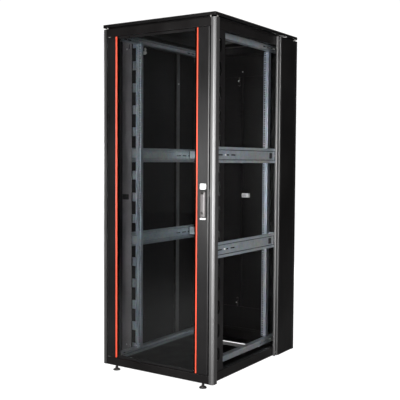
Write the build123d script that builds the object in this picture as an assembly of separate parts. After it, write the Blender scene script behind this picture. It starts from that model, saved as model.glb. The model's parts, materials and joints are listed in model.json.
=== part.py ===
from build123d import *
import os

# Network rack cabinet, 42 rack units. Millimetres, +Z up, X to the right seen from the front, front at -Y.
# The origin is on the floor, in the middle of the cabinet's plan.

# ---- Driving dimensions ----------------------------------------------------------------------------
WIDTH = 800.0
DEPTH = 1000.0
UNIT = 44.45            # one rack unit
UNITS = 42
RAIL_BOTTOM = 120.0     # lower end of the rails and of the first unit
FOOT_HEIGHT = 35.0      # floor to the underside of the frame
FRAME_TOP = 2057.0
ROOF_GAP = 10.0         # shadow gap under the roof
ROOF_DEPTH = 18.0
HALF_W = WIDTH / 2
HALF_D = DEPTH / 2
RAIL_TOP = RAIL_BOTTOM + UNITS * UNIT
ROOF_LOW = FRAME_TOP + ROOF_GAP
ROOF_TOP = ROOF_LOW + ROOF_DEPTH

GAUGE = 2.0             # sheet of the frame and the rails
THIN = 1.5              # sheet of the doors, the panels and the beams
BEND = 1.0              # inside radius of a fold

POST_IN = 372.0         # inner face of the corner posts
POST_DEEP = 42.0
POST_ROUND = 16.0
SIDE_FACE = 375.0       # outer face of the side rails, set back behind the side panels
SIDE_RAIL_TALL = 53.0
MIDDLE_POST_Y = (243.0, 276.0)
MIDDLE_POST_X = (379.0, 396.0)
REAR_POST_Y = 462.0
REAR_POST_IN = 365.0
SIDE_RAIL_Y = (-HALF_D + POST_DEEP, REAR_POST_Y)
SIDE_FLANGE = 27.0      # how far a side rail's flanges reach inwards

DOOR_LOW = 86.0
DOOR_HIGH = 2007.0
DOOR_HALF = 362.0
DOOR_BACK = -478.0
STILE_IN = {"left": 300.0, "right": 287.5}  # the stiles' inner edges; the handle's stile is the wider one
STRIP_WIDE = 7.5        # red strip beside each stile
LIP_WIDE = 24.0         # the glass lies on this lip
GLASS_Y = (-494.0, -489.0)
HINGE_X = 354.0
HINGE_Y = -490.0
HINGE_R = 4.0
RUN_FIT = 0.05          # radial clearance of a turning fit

HANDLE_X = 331.5
HANDLE_HALF = 18.0
HANDLE_Z = (953.0, 1153.5)
PIVOT_Z = 1102.0
PIVOT_Y = -513.0
LEVER_Y = (-520.0, -506.0)
LEVER_HALF = 16.0
LEVER_LOW = 967.0
BARREL_Z = 991.0
BARREL_R = 8.0

HOLE = 9.5              # square hole of the rails
HOLE_X = 232.5          # half of the 465 mm hole spacing
HOLE_STEPS = (6.35, 22.225, 38.1)
WINDOW_PITCH = 3 * UNIT
WINDOW_TALL = 80.0
FRONT_RAIL_Y = -353.0
REAR_RAIL_Y = 367.0
PLATE_Y = -350.0        # cable plates beside the front rails

CHANNEL_TALL = 34.0
CHANNEL_X = (252.0, 289.0)
BEAM_TALL = 90.0
BEAM_Z = (778.8, 1312.2)
BRACKET_UP = 8.0        # the brackets' middle above the beams' middle
BEAM_END = 455.0
BEAM_X = 378.0

LEAF_Z = (258.0, 1863.0)
LEAF_HALF = 363.0
LEAF_DEEP = 20.0
REAR_PIN_X = 355.0
REAR_PIN_Y = 495.0      # near the outer face, so that a leaf's corner clears the post
REAR_PIN_R = 3.0
LEAF_GAP = 0.8          # half of the joint between the leaves
STOP_Y = (476.5, 479.5) # stop strips inside, behind the ends of the leaves
STOP_HALF = 330.0       # they end short of the corners that swing inwards at the pins
LATCH_X = 28.0
LATCH_Z = 1043.0
BOLT_X = -30.0
BOLT_Y = 488.0
BOLT_R = 4.0
KNOB_OUT = 521.0        # how far the rear knob stands out, the same as the front handle

FOOT_X = 315.0
FOOT_Y = 470.0
LOCK_Y = -112.0
LOCK_Z = 1968.0

SIDES = {"left": -1, "right": 1}
parts = {}


# ---- Shapes ----------------------------------------------------------------------------------------
def block(x, y, z):
    """A box between two limits on each axis, given in any order."""
    x, y, z = sorted(x), sorted(y), sorted(z)
    size = (x[1] - x[0], y[1] - y[0], z[1] - z[0])
    return Pos(x[0], y[0], z[0]) * Box(*size, align=(Align.MIN, Align.MIN, Align.MIN))


def rod_x(y, z, radius, low, high):
    return Pos((low + high) / 2, y, z) * Rot(0, 90, 0) * Cylinder(radius, high - low)


def rod_y(x, z, radius, low, high):
    return Pos(x, (low + high) / 2, z) * Rot(90, 0, 0) * Cylinder(radius, high - low)


def rod_z(x, y, radius, low, high):
    return Pos(x, y, (low + high) / 2) * Cylinder(radius, high - low)


def along_x(section, low, high):
    """Draws a section given as (y, z) out along X."""
    plane = Plane(origin=(low, 0, 0), x_dir=(0, 1, 0), z_dir=(1, 0, 0))
    return extrude(plane * section, high - low)


def along_y(section, low, high):
    """Draws a section given as (x, z) out along Y."""
    plane = Plane(origin=(0, low, 0), x_dir=(1, 0, 0), z_dir=(0, -1, 0))
    return extrude(plane * section, low - high)


def along_z(section, low, high):
    """Draws a section given as (x, y) out along Z."""
    return extrude(Pos(0, 0, low) * section, high - low)


def side(name, shape):
    """The right-hand shape, or its mirror image for the left."""
    return shape if name == "right" else mirror(shape, about=Plane.YZ)


def both(shape):
    return [shape, mirror(shape, about=Plane.YZ)]


def at_vertex(face, point):
    return [v for v in face.vertices() if (Vector(v.X, v.Y) - point).length < 0.001]


def folded(points, gauge, bend=BEND):
    """Section of a folded sheet, its centre line through the points."""
    path = [Vector(*point) for point in points]
    runs = [(b - a).normalized() for a, b in zip(path, path[1:])]
    left = []
    right = []
    for index, point in enumerate(path):
        before = runs[max(index - 1, 0)]
        after = runs[min(index, len(runs) - 1)]
        mean = (before + after).normalized()
        normal = Vector(-mean.Y, mean.X)
        reach = gauge / 2 / normal.dot(Vector(-after.Y, after.X))
        left.append(point + normal * reach)
        right.append(point - normal * reach)
    face = make_face(Polyline(*left, *reversed(right), close=True))
    for index in range(1, len(path) - 1):
        turn = runs[index - 1].cross(runs[index]).Z
        inner, outer = (left, right) if turn > 0 else (right, left)
        face = fillet(at_vertex(face, inner[index]), bend)
        face = fillet(at_vertex(face, outer[index]), bend + gauge)
    return face


def slot_y(x, y, z, length, tall, deep=12.0):
    """Cutter for a slot with round ends in a wall that faces X, long in Y."""
    plane = Plane(origin=(x - deep / 2, y, z), x_dir=(0, 1, 0), z_dir=(1, 0, 0))
    return extrude(plane * SlotOverall(length, tall), deep)


def rack_hole_heights():
    return [RAIL_BOTTOM + unit * UNIT + step for unit in range(UNITS) for step in HOLE_STEPS]


def window_heights():
    return [RAIL_BOTTOM + WINDOW_PITCH * (index + 0.5) for index in range(UNITS // 3)]


# ---- Frame -----------------------------------------------------------------------------------------
def corner_post(x, y, radius, corner_y, wall):
    """Rolled tube with one large round outside corner, the section of a corner post."""
    def outline(inset):
        low_x, high_x = x[0] + inset, x[1] - inset
        low_y, high_y = y[0] + inset, y[1] - inset
        center = Pos((low_x + high_x) / 2, (low_y + high_y) / 2)
        face = center * Rectangle(high_x - low_x, high_y - low_y)
        edge_y = low_y if corner_y < 0 else high_y
        face = fillet(at_vertex(face, Vector(high_x, edge_y)), radius - inset)
        return face
    return along_z(outline(0) - outline(wall), FOOT_HEIGHT, FRAME_TOP)


def front_post(name):
    post = corner_post((POST_IN, HALF_W), (-HALF_D, -HALF_D + POST_DEEP), POST_ROUND, -1, GAUGE)
    return side(name, post)


def rear_posts():
    post = corner_post((REAR_POST_IN, HALF_W), (REAR_POST_Y, HALF_D), 8.0, 1, GAUGE)
    return both(post)


def middle_posts():
    """Closed posts at the rear edge of the side panels: a round ridge, a groove and a low ridge outside."""
    x0, x1 = MIDDLE_POST_X
    y0, y1 = MIDDLE_POST_Y
    ridge_x, ridge_y = x1 - 4, y0 + 13
    groove_x, groove_y = x1 - 11, y1 - 6
    outline = [
        (x0, y0), (ridge_x, y0), (ridge_x, ridge_y), (groove_x, ridge_y),
        (groove_x, groove_y), (x1, groove_y), (x1, y1), (x0, y1),
    ]
    section = make_face(Polyline(*outline, close=True))
    hollow = offset(section, -GAUGE, kind=Kind.INTERSECTION)
    for corner, radius in (((ridge_x, y0), 5.0), ((ridge_x, ridge_y), 3.0), ((x1, groove_y), 3.0)):
        section = fillet(at_vertex(section, Vector(*corner)), radius)
    post = along_z(section - hollow, FOOT_HEIGHT, FRAME_TOP)
    for low in (FOOT_HEIGHT, FRAME_TOP - SIDE_RAIL_TALL):
        post += block((SIDE_FACE, x0 + 1), (y0 + 6, y1 - 6), (low, low + SIDE_RAIL_TALL))
    return both(post)


def cross_rail(points, half_length, side_rail_end, cutters=()):
    """Folded rail across the cabinet, its flanges notched where the side rails meet it."""
    rail = along_x(folded(points, GAUGE), -half_length, half_length)
    inner_edge = SIDE_FACE - GAUGE - SIDE_FLANGE
    away = 100 if side_rail_end < 0 else -100
    notch = block((inner_edge, HALF_W), (side_rail_end, side_rail_end + away), (0, ROOF_TOP))
    for cutter in both(notch) + list(cutters):
        rail -= cutter
    return rail


def front_header():
    back = -HALF_D + 50
    face = -HALF_D + GAUGE / 2
    points = [(back, FRAME_TOP - 1), (face, FRAME_TOP - 1), (face, 2011), (face + 19, 2011)]
    pin_hole = rod_z(-HINGE_X, HINGE_Y, HINGE_R + RUN_FIT, 2000, 2020)
    return cross_rail(points, POST_IN, SIDE_RAIL_Y[0], [pin_hole])


def front_sill():
    face = -HALF_D + GAUGE / 2
    points = [(face + 37, 82), (face, 82), (face, FOOT_HEIGHT + 1), (face + 60, FOOT_HEIGHT + 1)]
    cutters = [rod_z(-HINGE_X, HINGE_Y, HINGE_R + RUN_FIT, 75, 90)]
    cutters += [rod_z(sx * FOOT_X, -FOOT_Y, 6.0, 30, 40) for sx in (-1, 1)]
    return cross_rail(points, POST_IN, SIDE_RAIL_Y[0], cutters)


def rear_header():
    face = HALF_D - GAUGE / 2
    top, low, lip = FRAME_TOP - 1, 2001, face - 26
    points = [(face - 49, top), (face, top), (face, low), (lip, low), (lip, low - 13)]
    return cross_rail(points, REAR_POST_IN, SIDE_RAIL_Y[1])


def rear_sill():
    face = HALF_D - GAUGE / 2
    low = FOOT_HEIGHT + 1
    points = [(face - 26, 126), (face - 26, 112), (face, 112), (face, low), (face - 60, low)]
    foot_holes = [rod_z(sx * FOOT_X, FOOT_Y, 6.0, 30, 40) for sx in (-1, 1)]
    return cross_rail(points, REAR_POST_IN, SIDE_RAIL_Y[1], foot_holes)


def side_rails(low, slotted_z):
    """Rails along both sides, with a row of slots in the flange that faces the inside."""
    edge = SIDE_FACE - GAUGE / 2
    high = low + SIDE_RAIL_TALL
    inner = SIDE_FACE - GAUGE - SIDE_FLANGE
    points = [(inner, low + 1), (edge, low + 1), (edge, high - 1), (inner, high - 1)]
    rail = along_y(folded(points, GAUGE), *SIDE_RAIL_Y)
    slot = SlotOverall(22, 5)
    pitch = 40.0
    count = 22
    for index in range(count):
        y = (index - (count - 1) / 2) * pitch
        rail -= Pos(edge - 18, y, slotted_z) * extrude(Rot(0, 0, 90) * slot, 4, both=True)
    return both(rail)


def floor_panel():
    """Floor tray with a cable entry at the rear."""
    panel = block((-340, 340), (-458, 458), (FOOT_HEIGHT + 2, FOOT_HEIGHT + 2 + THIN))
    entry = block((-200, 200), (300, 400), (30, 45))
    return panel - entry


def roof_panel():
    """Roof pan with a covered cable entry at the rear."""
    outer = block((-HALF_W, HALF_W), (-HALF_D, HALF_D), (ROOF_LOW, ROOF_TOP))
    outer = fillet(outer.edges().filter_by(Axis.Z), 8.0)
    outer = fillet(outer.faces().sort_by(Axis.Z)[-1].edges(), 2.5)
    inner = block((-HALF_W + 2, HALF_W - 2), (-HALF_D + 2, HALF_D - 2), (ROOF_LOW - 1, ROOF_TOP - 2))
    inner = fillet(inner.edges().filter_by(Axis.Z), 6.0)
    entry = block((-200, 200), (280, 400), (ROOF_TOP - 5, ROOF_TOP + 5))
    return outer - inner - entry


def roof_entry_cover():
    """Plate that fills the roof's cable entry, flush, on a lip that reaches under the roof sheet."""
    cover = block((-199, 199), (281, 399), (ROOF_TOP - 3, ROOF_TOP - 0.2))
    cover += block((-210, 210), (270, 410), (ROOF_TOP - 4, ROOF_TOP - 2.1))
    for sx in (-1, 1):
        for y in (295, 385):
            cover -= rod_z(sx * 185, y, 4.0, ROOF_TOP - 1.2, ROOF_TOP)
    return cover


def roof_riser():
    """Four bars that carry the roof above the frame, set back behind the shadow gap."""
    bars = []
    for sy in (-1, 1):
        bars.append(block((-375, 375), (sy * 455, sy * 475), (FRAME_TOP, ROOF_LOW)))
    for sx in (-1, 1):
        bars.append(block((sx * 355, sx * 375), (-454.5, 454.5), (FRAME_TOP, ROOF_LOW)))
    return bars


def roof_standoffs():
    """Clips in the shadow gap, two by each corner."""
    clips = []
    for sx in (-1, 1):
        for sy in (-1, 1):
            for x, y, wide, deep in ((sx * 366, sy * 494, 8, 5), (sx * 394, sy * 470, 5, 8)):
                clip = Pos(x, y, FRAME_TOP + ROOF_GAP / 2) * Box(wide, deep, ROOF_GAP)
                clips.append(fillet(clip.edges().filter_by(Axis.Z), 1.2))
    return clips


# ---- Panels ----------------------------------------------------------------------------------------
def side_pan(x_face, y, z, deep, corner=1.5):
    """Folded pan that faces +X: a sheet at x_face with returns all round."""
    outer = block((x_face - deep, x_face), y, z)
    outer = fillet(outer.faces().sort_by(Axis.X)[-1].edges(), corner)
    inner_x = (x_face - deep - 1, x_face - THIN)
    inner = block(inner_x, (y[0] + THIN, y[1] - THIN), (z[0] + THIN, z[1] - THIN))
    return outer - inner


def left_side_panel():
    y = (-HALF_D + POST_DEEP + 2, MIDDLE_POST_Y[0] - 2)
    panel = side_pan(HALF_W, y, (FOOT_HEIGHT + 2, FRAME_TOP - 2), 18)
    hole = rod_x(LOCK_Y, LOCK_Z, 11 + RUN_FIT, HALF_W - 5, HALF_W + 5)
    return side("left", panel - hole)


def side_panel_lock():
    """Quarter-turn lock, flush in the side panel, with its cam pointing up inside."""
    body = rod_x(LOCK_Y, LOCK_Z, 11, -HALF_W, -HALF_W + 20)
    body = fillet(body.edges().sort_by(Axis.X)[:1], 0.8)
    slot = block((-HALF_W - 1, -HALF_W + 3), (LOCK_Y - 1.5, LOCK_Y + 1.5), (LOCK_Z - 7, LOCK_Z + 7))
    cam = block((-HALF_W + 20, -HALF_W + 23), (LOCK_Y - 8, LOCK_Y + 8), (LOCK_Z - 11, LOCK_Z + 32))
    cam = fillet(cam.edges().filter_by(Axis.X), 6.0)
    return body - slot + cam


def rear_side_panels():
    y = (MIDDLE_POST_Y[1] + 1, REAR_POST_Y - 1)
    return both(side_pan(HALF_W, y, (FOOT_HEIGHT + 1, FRAME_TOP - 1), 18))


def rear_pan(x, z, corner=1.5):
    """Folded pan that faces the rear."""
    outer = block(x, (HALF_D - LEAF_DEEP, HALF_D), z)
    outer = fillet(outer.faces().sort_by(Axis.Y)[-1].edges(), corner)
    inner_y = (HALF_D - LEAF_DEEP - 1, HALF_D - THIN)
    inner = block((x[0] + THIN, x[1] - THIN), inner_y, (z[0] + THIN, z[1] - THIN))
    return outer - inner


def rear_fixed_panel(z, near_leaf_z, away):
    """Fixed three-unit panel: pin holes, a bolt hole and a stop strip along the wall next to the leaves."""
    panel = rear_pan((-LEAF_HALF, LEAF_HALF), z)
    stop_z = (near_leaf_z - away * 16, near_leaf_z + away * 14)
    panel += block((-STOP_HALF, STOP_HALF), STOP_Y, stop_z)
    tie_z = (near_leaf_z, near_leaf_z + away * THIN)
    panel += block((-STOP_HALF, STOP_HALF), (STOP_Y[1] - 1, HALF_D - LEAF_DEEP + 1), tie_z)
    hole_z = (near_leaf_z - 4, near_leaf_z + 4)
    for sx in (-1, 1):
        panel -= rod_z(sx * REAR_PIN_X, REAR_PIN_Y, REAR_PIN_R + RUN_FIT, *hole_z)
    return panel - rod_z(BOLT_X, BOLT_Y, BOLT_R + 0.6, *hole_z)


def rear_leaf(sign):
    """One leaf of the rear door, with a bored block for a hinge pin at each outer corner."""
    x = sorted((sign * LEAF_GAP, sign * LEAF_HALF))
    leaf = rear_pan(x, LEAF_Z)
    for z_end, into in ((LEAF_Z[0], 1), (LEAF_Z[1], -1)):
        corner_x = (sign * (REAR_PIN_X - 12), sign * (LEAF_HALF - 1))
        leaf += block(corner_x, (HALF_D - LEAF_DEEP, HALF_D - 1), (z_end, z_end + into * 14))
        leaf -= rod_z(sign * REAR_PIN_X, REAR_PIN_Y, REAR_PIN_R + RUN_FIT, z_end - 20, z_end + 20)
    return leaf


def rear_door_left():
    """Passive leaf: an edge rib where the leaves meet, and a bored guide for each slide bolt."""
    leaf = rear_leaf(-1)
    rib_z = (LEAF_Z[0] + 16, LEAF_Z[1] - 16)
    rib = block((-14, -LEAF_GAP), (HALF_D - LEAF_DEEP - 2, HALF_D - LEAF_DEEP), rib_z)
    leaf += fillet(rib.edges().filter_by(Axis.Z).group_by(Axis.Y)[0], 1.0)
    for z_end, into in ((LEAF_Z[0], 1), (LEAF_Z[1], -1)):
        guide_z = (z_end + into * 52, z_end + into * 68)
        leaf += block((BOLT_X - 9, BOLT_X + 9), (BOLT_Y - 7, HALF_D - 1), guide_z)
        leaf -= rod_z(BOLT_X, BOLT_Y, BOLT_R + RUN_FIT, z_end - 80, z_end + 80)
    return leaf


def rear_door_right():
    leaf = rear_leaf(1)
    return leaf - rod_y(LATCH_X, LATCH_Z, 6 + RUN_FIT, HALF_D - 5, HALF_D + 5)


def slide_bolt(z_end, into):
    """Round bolt with a finger knob, drawn back just inside the leaf's edge."""
    rod = rod_z(BOLT_X, BOLT_Y, BOLT_R, *sorted((z_end + into * 1.0, z_end + into * 72)))
    rod = chamfer(rod.edges().group_by(Axis.Z)[0 if into > 0 else -1], 0.8)
    knob = rod_y(BOLT_X, z_end + into * 40, 5.0, BOLT_Y - 14, BOLT_Y)
    knob = fillet(knob.edges().sort_by(Axis.Y)[:1], 1.5)
    return rod + knob


def rear_latch_housing():
    housing = block((2.6, 54), (477, HALF_D - THIN), (LATCH_Z - 14, LATCH_Z + 14))
    housing = fillet(housing.faces().sort_by(Axis.Y)[0].edges(), 2.0)
    return housing - rod_y(LATCH_X, LATCH_Z, 6 + RUN_FIT, 470, HALF_D)


def rear_latch_knob():
    """Wing knob outside, shaft through the housing, cam inside that stops at the leaves' joint."""
    disc = rod_y(LATCH_X, LATCH_Z, 17, HALF_D + 0.4, HALF_D + 7)
    disc = fillet(disc.edges().sort_by(Axis.Y)[-1:], 1.5)
    wing = block((LATCH_X - 6, LATCH_X + 6), (HALF_D + 6, KNOB_OUT), (LATCH_Z - 24, LATCH_Z + 24))
    wing = fillet(wing.edges().filter_by(Axis.Y), 5.5)
    wing = fillet(wing.faces().sort_by(Axis.Y)[-1].edges(), 1.5)
    shaft = rod_y(LATCH_X, LATCH_Z, 6, 473, HALF_D + 1)
    cam = block((3, LATCH_X + 9), (473, 476), (LATCH_Z - 9, LATCH_Z + 9))
    cam = fillet(cam.edges().filter_by(Axis.Y), 5.0)
    return disc + wing + shaft + cam


# ---- Rails, plates and beams -----------------------------------------------------------------------
def front_rail(name):
    """Front 19-inch rail: hole flange, a groove, and tabs that leave a cable window every three units."""
    y = FRONT_RAIL_Y
    points = [
        (226, y + 25), (226, y), (251, y), (251, y + 22), (267, y + 22), (267, y + 10), (294, y + 10),
    ]
    rail = along_z(folded(points, GAUGE, 0.5), RAIL_BOTTOM, RAIL_TOP)
    cutters = [Pos(HOLE_X, y, z) * Box(HOLE, 8, HOLE) for z in rack_hole_heights()]
    for z in window_heights():
        cutters.append(Pos(284, y + 10, z) * Box(30, 8, WINDOW_TALL))
    return side(name, rail - cutters)


def rear_rail(name):
    """Rear 19-inch rail: an angle with square holes in front and round holes in its side."""
    y = REAR_RAIL_Y
    points = [(225, y), (257.5, y), (257.5, y + 33)]
    rail = along_z(folded(points, GAUGE, 0.5), RAIL_BOTTOM, RAIL_TOP)
    cutters = [Pos(HOLE_X, y, z) * Box(HOLE, 8, HOLE) for z in rack_hole_heights()]
    for half_unit in range(2 * UNITS):
        z = RAIL_BOTTOM + (half_unit + 0.5) * UNIT / 2
        cutters.append(rod_x(y + 18, z, 3.5, 250, 265))
    return side(name, rail - cutters)


def cable_plates():
    """Plain plates between the front rails and the post webs, slotted near both ends."""
    plate = block((297, 368.5), (PLATE_Y - THIN, PLATE_Y), (88.5, 2003.5))
    for z in (116, 1970):
        plane = Plane(origin=(314, PLATE_Y - 5, z), x_dir=(0, 0, 1), z_dir=(0, -1, 0))
        plate -= extrude(plane * SlotOverall(28, 5), -10)
    return both(plate)


def post_web(name):
    """Web behind a front post, with a D-shaped cable window every three units."""
    web = block((369, 370.5), (-470, PLATE_Y), (88.5, 2003.5))
    width = 45.0
    cutters = []
    for z in window_heights():
        face = Rectangle(width, WINDOW_TALL)
        face = fillet(face.vertices().group_by(Axis.X)[-1], 20.0)
        face = fillet(face.vertices().group_by(Axis.X)[0], 3.0)
        plane = Plane(origin=(365, -408, z), x_dir=(0, 1, 0), z_dir=(1, 0, 0))
        cutters.append(extrude(plane * face, 10))
    return side(name, web - cutters)


def plate_insert():
    """Small ribbed insert on the left cable plate."""
    y_back = PLATE_Y - THIN
    insert = block((-366, -318), (y_back - 2, y_back), (1036, 1069))
    insert = fillet(insert.edges().filter_by(Axis.Y), 2.0)
    for z in (1043, 1052.5, 1062):
        rib = block((-363, -321), (y_back - 6, y_back - 1), (z - 2.2, z + 2.2))
        insert += fillet(rib.edges().filter_by(Axis.X).group_by(Axis.Y)[0], 1.2)
    return insert


def side_beam(name, z):
    """Slotted side beam, a shallow folded section with two bands and a recessed web."""
    half = BEAM_TALL / 2 - THIN / 2
    outer, web, groove = BEAM_X, BEAM_X - 2, BEAM_X - 6
    lower = [(BEAM_X - 6, -half), (outer, -half), (outer, -30), (groove, -30), (groove, -25.5), (web, -25.5)]
    upper = [(x, -dz) for x, dz in reversed(lower)]
    points = [(x, z + dz) for x, dz in lower + upper]
    beam = along_y(folded(points, THIN, 0.4), -BEAM_END, BEAM_END)
    cutters = [slot_y(web, sy * y, z, 48, 7) for sy in (-1, 1) for y in (262, 332, 402)]
    return side(name, beam - cutters)


def channels(low):
    """Slotted channels, one each side, that carry the ends of the rails."""
    x0, x1 = CHANNEL_X
    high = low + CHANNEL_TALL
    points = [(x0, high - 1), (x1, high - 1), (x1, low + 1), (x0, low + 1)]
    channel = along_y(folded(points, GAUGE), -461, 461)
    mid = (low + high) / 2
    for y in (-420, -380, 250, 300, 350, 400):
        channel -= slot_y(x1, y, mid, 32, 7)
    return both(channel)


def rail_brackets():
    """Angles that tie the front and rear rails to the side beams."""
    brackets = []
    for z in BEAM_Z:
        for points in (
            [(254.5, -346), (368, -346), (368, -320)],
            [(259.7, REAR_RAIL_Y + 20), (368, REAR_RAIL_Y + 20), (368, REAR_RAIL_Y + 46)],
        ):
            brackets += both(along_z(folded(points, GAUGE), z + BRACKET_UP - 26, z + BRACKET_UP + 26))
    return brackets


def beam_clips():
    """Dark clips with two holes, in the recess of each beam beside the middle post."""
    clips = []
    for z in BEAM_Z:
        x0 = BEAM_X - 2 + THIN / 2
        clip = block((x0, x0 + 2), (170, 205), (z - 17, z + 17))
        clip = fillet(clip.edges().filter_by(Axis.X), 3.0)
        for y in (180, 195):
            clip -= rod_x(y, z, 3.5, x0 - 2, x0 + 6)
        clips += both(clip)
    return clips


# ---- Front door ------------------------------------------------------------------------------------
def door_stile(name):
    """Folded stile: chamfered outer edge, flat front, and a lip behind the glass."""
    half = THIN / 2
    outer = DOOR_HALF - half
    front = -HALF_D + half
    edge = STILE_IN[name]
    points = [
        (345, DOOR_BACK - half), (outer, DOOR_BACK - half), (outer, -497.5), (357.5, front),
        (edge + half, front), (edge + half, -485.75), (edge - LIP_WIDE, -485.75),
    ]
    stile = along_z(folded(points, THIN, 0.6), DOOR_LOW, DOOR_HIGH)
    if name == "right":
        stile -= rod_y(HANDLE_X, PIVOT_Z, 9.5, -HALF_D - 5, -HALF_D + 5)
    return side(name, stile)


def door_edge_channels():
    """Closing blocks in the stiles' ends, two of them bored for the hinge pins, and glass channels."""
    pieces = []
    glass_x = (-STILE_IN["left"] + LIP_WIDE + 0.5, STILE_IN["right"] - LIP_WIDE - 0.5)
    groove_y = (GLASS_Y[0] - 0.2, GLASS_Y[1] + 0.2)
    for z_end, into in ((DOOR_LOW, 1), (DOOR_HIGH, -1)):
        for name in SIDES:
            cap = block((STILE_IN[name] + 1.6, 360.2), (-494.5, -479.8), (z_end, z_end + into * 12))
            if name == "left":
                cap -= rod_z(HINGE_X, HINGE_Y, HINGE_R + RUN_FIT, z_end - 20, z_end + 20)
            pieces.append(side(name, cap))
        channel = block(glass_x, (-496, -486.6), (z_end, z_end + into * 14))
        pieces.append(channel - block(glass_x, groove_y, (z_end + into * 5, z_end + into * 15)))
    return pieces


def door_glass():
    x = (-STILE_IN["left"] + 3, STILE_IN["right"] - 3)
    return block(x, GLASS_Y, (DOOR_LOW + 6, DOOR_HIGH - 6))


def door_red_strips():
    strips = []
    for name in SIDES:
        x = (STILE_IN[name] - STRIP_WIDE, STILE_IN[name])
        strip = block(x, (-HALF_D, GLASS_Y[0]), (DOOR_LOW, DOOR_HIGH))
        strips.append(side(name, fillet(strip.edges().filter_by(Axis.Z).group_by(Axis.Y)[0], 1.0)))
    return strips


def door_glazing_strips():
    strips = []
    for name in SIDES:
        x = (STILE_IN[name] - LIP_WIDE + 1, STILE_IN[name] - 4)
        strips.append(side(name, block(x, (GLASS_Y[1], -486.5), (DOOR_LOW + 6, DOOR_HIGH - 6))))
    return strips


def handle_plate():
    """Handle base: a thin dark-backed plate with a raised block above and below the lever."""
    x = (HANDLE_X - HANDLE_HALF, HANDLE_X + HANDLE_HALF)
    base = block(x, (-504, -HALF_D), HANDLE_Z)
    base = fillet(base.edges().filter_by(Axis.Y), 6.0)
    top = block(x, (-515, -504), (PIVOT_Z + 18, HANDLE_Z[1]))
    low = block(x, (-515, -504), (HANDLE_Z[0], LEVER_LOW - 3))
    for piece in (top, low):
        outer_edges = piece.edges().filter_by(Axis.Y).group_by(Axis.Z)[-1 if piece is top else 0]
        shaped = fillet(outer_edges, 6.0)
        base += fillet(shaped.faces().sort_by(Axis.Y)[0].edges(), 1.5)
    return base - rod_y(HANDLE_X, PIVOT_Z, 9.3, -510, -495)


def handle_rotor():
    """Shaft through the stile, with a flange, a tab and the cross pin that the lever tilts on."""
    shaft = rod_y(HANDLE_X, PIVOT_Z, 9, -504.5, -472)
    flange = rod_y(HANDLE_X, PIVOT_Z, 13, -505.6, -504.2)
    x = (HANDLE_X - 9.5, HANDLE_X + 9.5)
    tab = rod_x(PIVOT_Y, PIVOT_Z, 4.5, x[0], x[1])
    tab += block(x, (PIVOT_Y, -505), (PIVOT_Z - 4.5, PIVOT_Z + 4.5))
    pin = rod_x(PIVOT_Y, PIVOT_Z, 2, HANDLE_X - LEVER_HALF + 1, HANDLE_X + LEVER_HALF - 1)
    return shaft + flange + tab + pin


def latch_tongue():
    """Tongue on the shaft's inner end. It stops short of the keeper."""
    tongue = block((HANDLE_X - 12, 366), (-476, -473), (PIVOT_Z - 12, PIVOT_Z + 12))
    tongue = fillet(tongue.edges().filter_by(Axis.Y), 6.0)
    return tongue - rod_y(HANDLE_X, PIVOT_Z, 9 + 0.02, -480, -470)


def handle_lever():
    """Flat lever with a forked top around the shaft's tab and a bore for the key barrel."""
    x = (HANDLE_X - LEVER_HALF, HANDLE_X + LEVER_HALF)
    lever = block(x, LEVER_Y, (LEVER_LOW, PIVOT_Z + 7))
    lever = fillet(lever.edges().filter_by(Axis.X).group_by(Axis.Z)[-1], 6.9)
    lever = fillet(lever.edges().filter_by(Axis.Y).group_by(Axis.Z)[0], 8.0)
    lever = fillet(lever.edges().filter_by(Axis.Z).group_by(Axis.Y)[0], 3.0)
    lever -= block((HANDLE_X - 10.2, HANDLE_X + 10.2), (-525, -500), (PIVOT_Z - 9, PIVOT_Z + 10))
    lever -= rod_x(PIVOT_Y, PIVOT_Z, 2 + RUN_FIT, x[0] - 1, x[1] + 1)
    return lever - rod_y(HANDLE_X, BARREL_Z, BARREL_R + RUN_FIT, -525, -500)


def key_barrel():
    barrel = rod_y(HANDLE_X, BARREL_Z, BARREL_R, -KNOB_OUT, -507)
    barrel = fillet(barrel.edges().sort_by(Axis.Y)[:1], 0.8)
    return barrel - block((HANDLE_X - 0.8, HANDLE_X + 0.8), (-525, -518), (BARREL_Z - 4, BARREL_Z + 4))


def latch_keeper():
    keeper = block((370, POST_IN), (-498, -471), (PIVOT_Z - 22, PIVOT_Z + 22))
    keeper = fillet(keeper.edges().filter_by(Axis.X), 3.0)
    return keeper - block((369, 373), (-490, -476), (PIVOT_Z - 12, PIVOT_Z + 12))


# ---- Pins, feet and fasteners ----------------------------------------------------------------------
def hinge_pins():
    """Collared pins: two for the front door, four for the rear leaves."""
    pins = []
    for low, high, collar in ((70, 97.5, (83.1, 85.8)), (1995.5, 2030, (2007.3, 2009.9))):
        pin = rod_z(-HINGE_X, HINGE_Y, HINGE_R, low, high)
        pins.append(pin + rod_z(-HINGE_X, HINGE_Y, 7, *collar))
    for z_end, into in ((LEAF_Z[0], 1), (LEAF_Z[1], -1)):
        reach = sorted((z_end - into * 10, z_end + into * 13))
        collar = sorted((z_end - into * 0.3, z_end - into * 1.8))
        pin = rod_z(REAR_PIN_X, REAR_PIN_Y, REAR_PIN_R, *reach) + rod_z(REAR_PIN_X, REAR_PIN_Y, 5, *collar)
        pins += both(pin)
    return pins


def foot(sx, sy):
    """Levelling foot: a pad, a hexagon to turn it by and a stud up into the frame."""
    x, y = sx * FOOT_X, sy * FOOT_Y
    pad = Pos(x, y, 4) * Cylinder(20, 8)
    pad = fillet(pad.edges().group_by(Axis.Z)[-1], 2.5)
    cone = Pos(x, y, 11) * Cone(14, 8, 6)
    hexagon = Pos(x, y, 14) * extrude(RegularPolygon(9, 6), 8)
    stud = rod_z(x, y, 5, 14, 72)
    return pad + cone + hexagon + stud


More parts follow.
